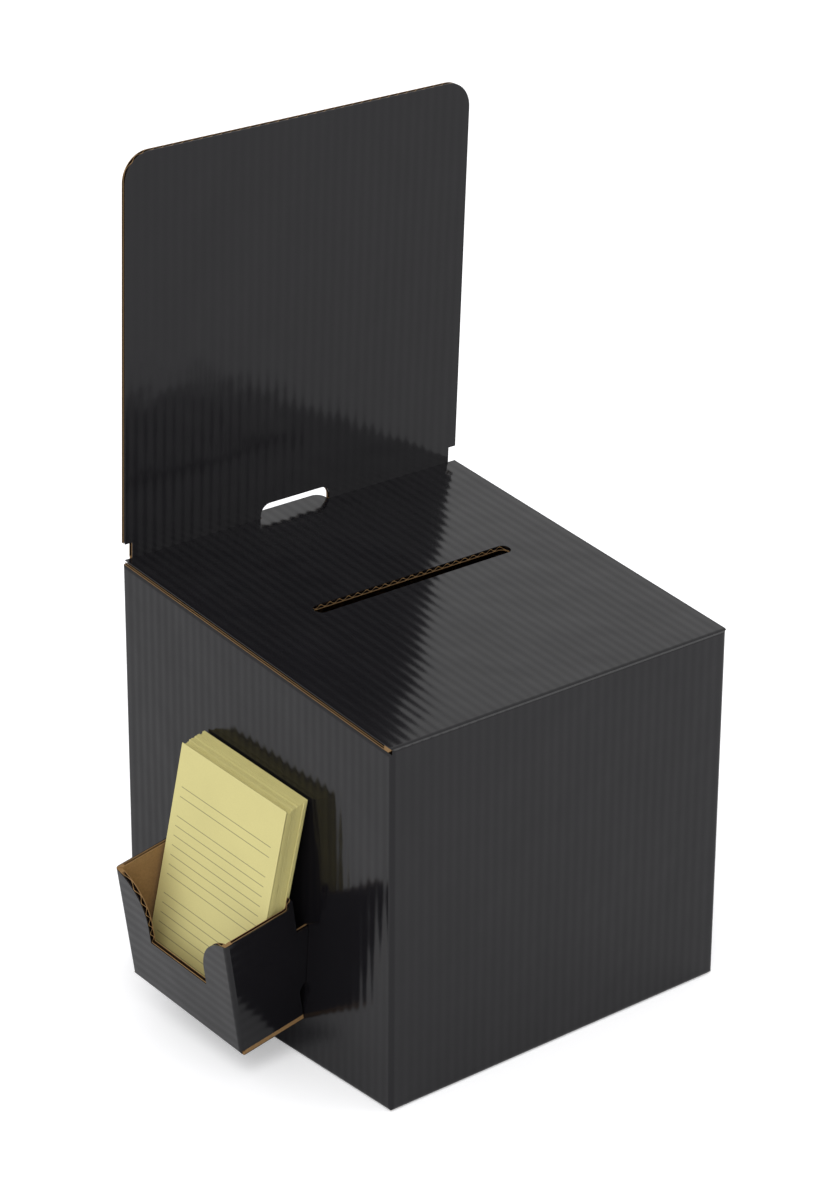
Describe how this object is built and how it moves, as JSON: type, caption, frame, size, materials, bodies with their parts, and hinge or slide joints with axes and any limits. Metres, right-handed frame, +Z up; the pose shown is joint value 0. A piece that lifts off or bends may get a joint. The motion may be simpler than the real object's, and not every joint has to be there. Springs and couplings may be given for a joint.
{
  "type": "ballot box",
  "caption": "Folded corrugated ballot box with a sloping slotted lid, an upright display header and a hooked-on pocket of paper slips.",
  "frame": {"origin": "centre of the base, on the surface the box stands on", "axes": "+X to the right seen from the front, front face towards -Y, header at the back towards +Y, +Z up"},
  "size_m": [0.2905, 0.2338, 0.4695],
  "materials": {
    "black_board": "gloss laminated outside",
    "kraft_board": "plain kraft",
    "yellow_paper": "matt uncoated"
  },
  "bodies": {
    "box": {"front_wall": "black_board", "left_wall": "black_board", "right_wall": "black_board", "back_wall": "black_board", "glue_flap": "kraft_board", "front_bottom_flap": "black_board", "back_bottom_flap": "black_board", "left_bottom_flap": "black_board", "right_bottom_flap": "black_board"},
    "lid": {"lid": "black_board", "header_crease": "kraft_board"},
    "header": {"header": "black_board"},
    "left_dust_flap": {"left_dust_flap": "black_board"},
    "right_dust_flap": {"right_dust_flap": "black_board"},
    "pocket": {"pocket_front": "black_board", "pocket_left_side": "black_board", "pocket_right_side": "black_board", "pocket_bottom": "black_board"},
    "slips": {"slip_stack": "yellow_paper"},
    "front_slip": {"front_slip": "yellow_paper"}
  },
  "joints": [
    {"name": "lid_hinge", "type": "hinge", "parent": "box", "child": "lid", "pos_m": [0, -0.11388, 0.21046], "axis": [1, 0, 0], "range_deg": [0, 150]},
    {"name": "header_fold", "type": "hinge", "parent": "lid", "child": "header", "pos_m": [0, 0.1115, 0.24061], "axis": [1, 0, 0], "range_deg": [-85, 92], "deforming": ["header_crease"]},
    {"name": "left_flap_fold", "type": "hinge", "parent": "box", "child": "left_dust_flap", "pos_m": [-0.11677, 0.0001, 0.22225], "axis": [0, -0.9915, -0.1299], "range_deg": [0, 90]},
    {"name": "right_flap_fold", "type": "hinge", "parent": "box", "child": "right_dust_flap", "pos_m": [0.11677, 0.0001, 0.22225], "axis": [0, 0.9915, 0.1299], "range_deg": [0, 90]},
    {"name": "pocket_pull", "type": "slide", "parent": "box", "child": "pocket", "axis": [-0.9806, 0.0161, -0.1953], "range_m": [0, 0.018]},
    {"name": "slips_lift", "type": "slide", "parent": "pocket", "child": "slips", "axis": [0, -0.0819, 0.9966], "range_m": [0, 0.09]},
    {"name": "front_slip_lift", "type": "slide", "parent": "slips", "child": "front_slip", "axis": [0, -0.0819, 0.9966], "range_m": [0, 0.09]}
  ],
  "couplings": [
    {"joint": "left_flap_fold", "follows": "lid_hinge", "ratio": 0.6},
    {"joint": "right_flap_fold", "follows": "lid_hinge", "ratio": 0.6}
  ]
}
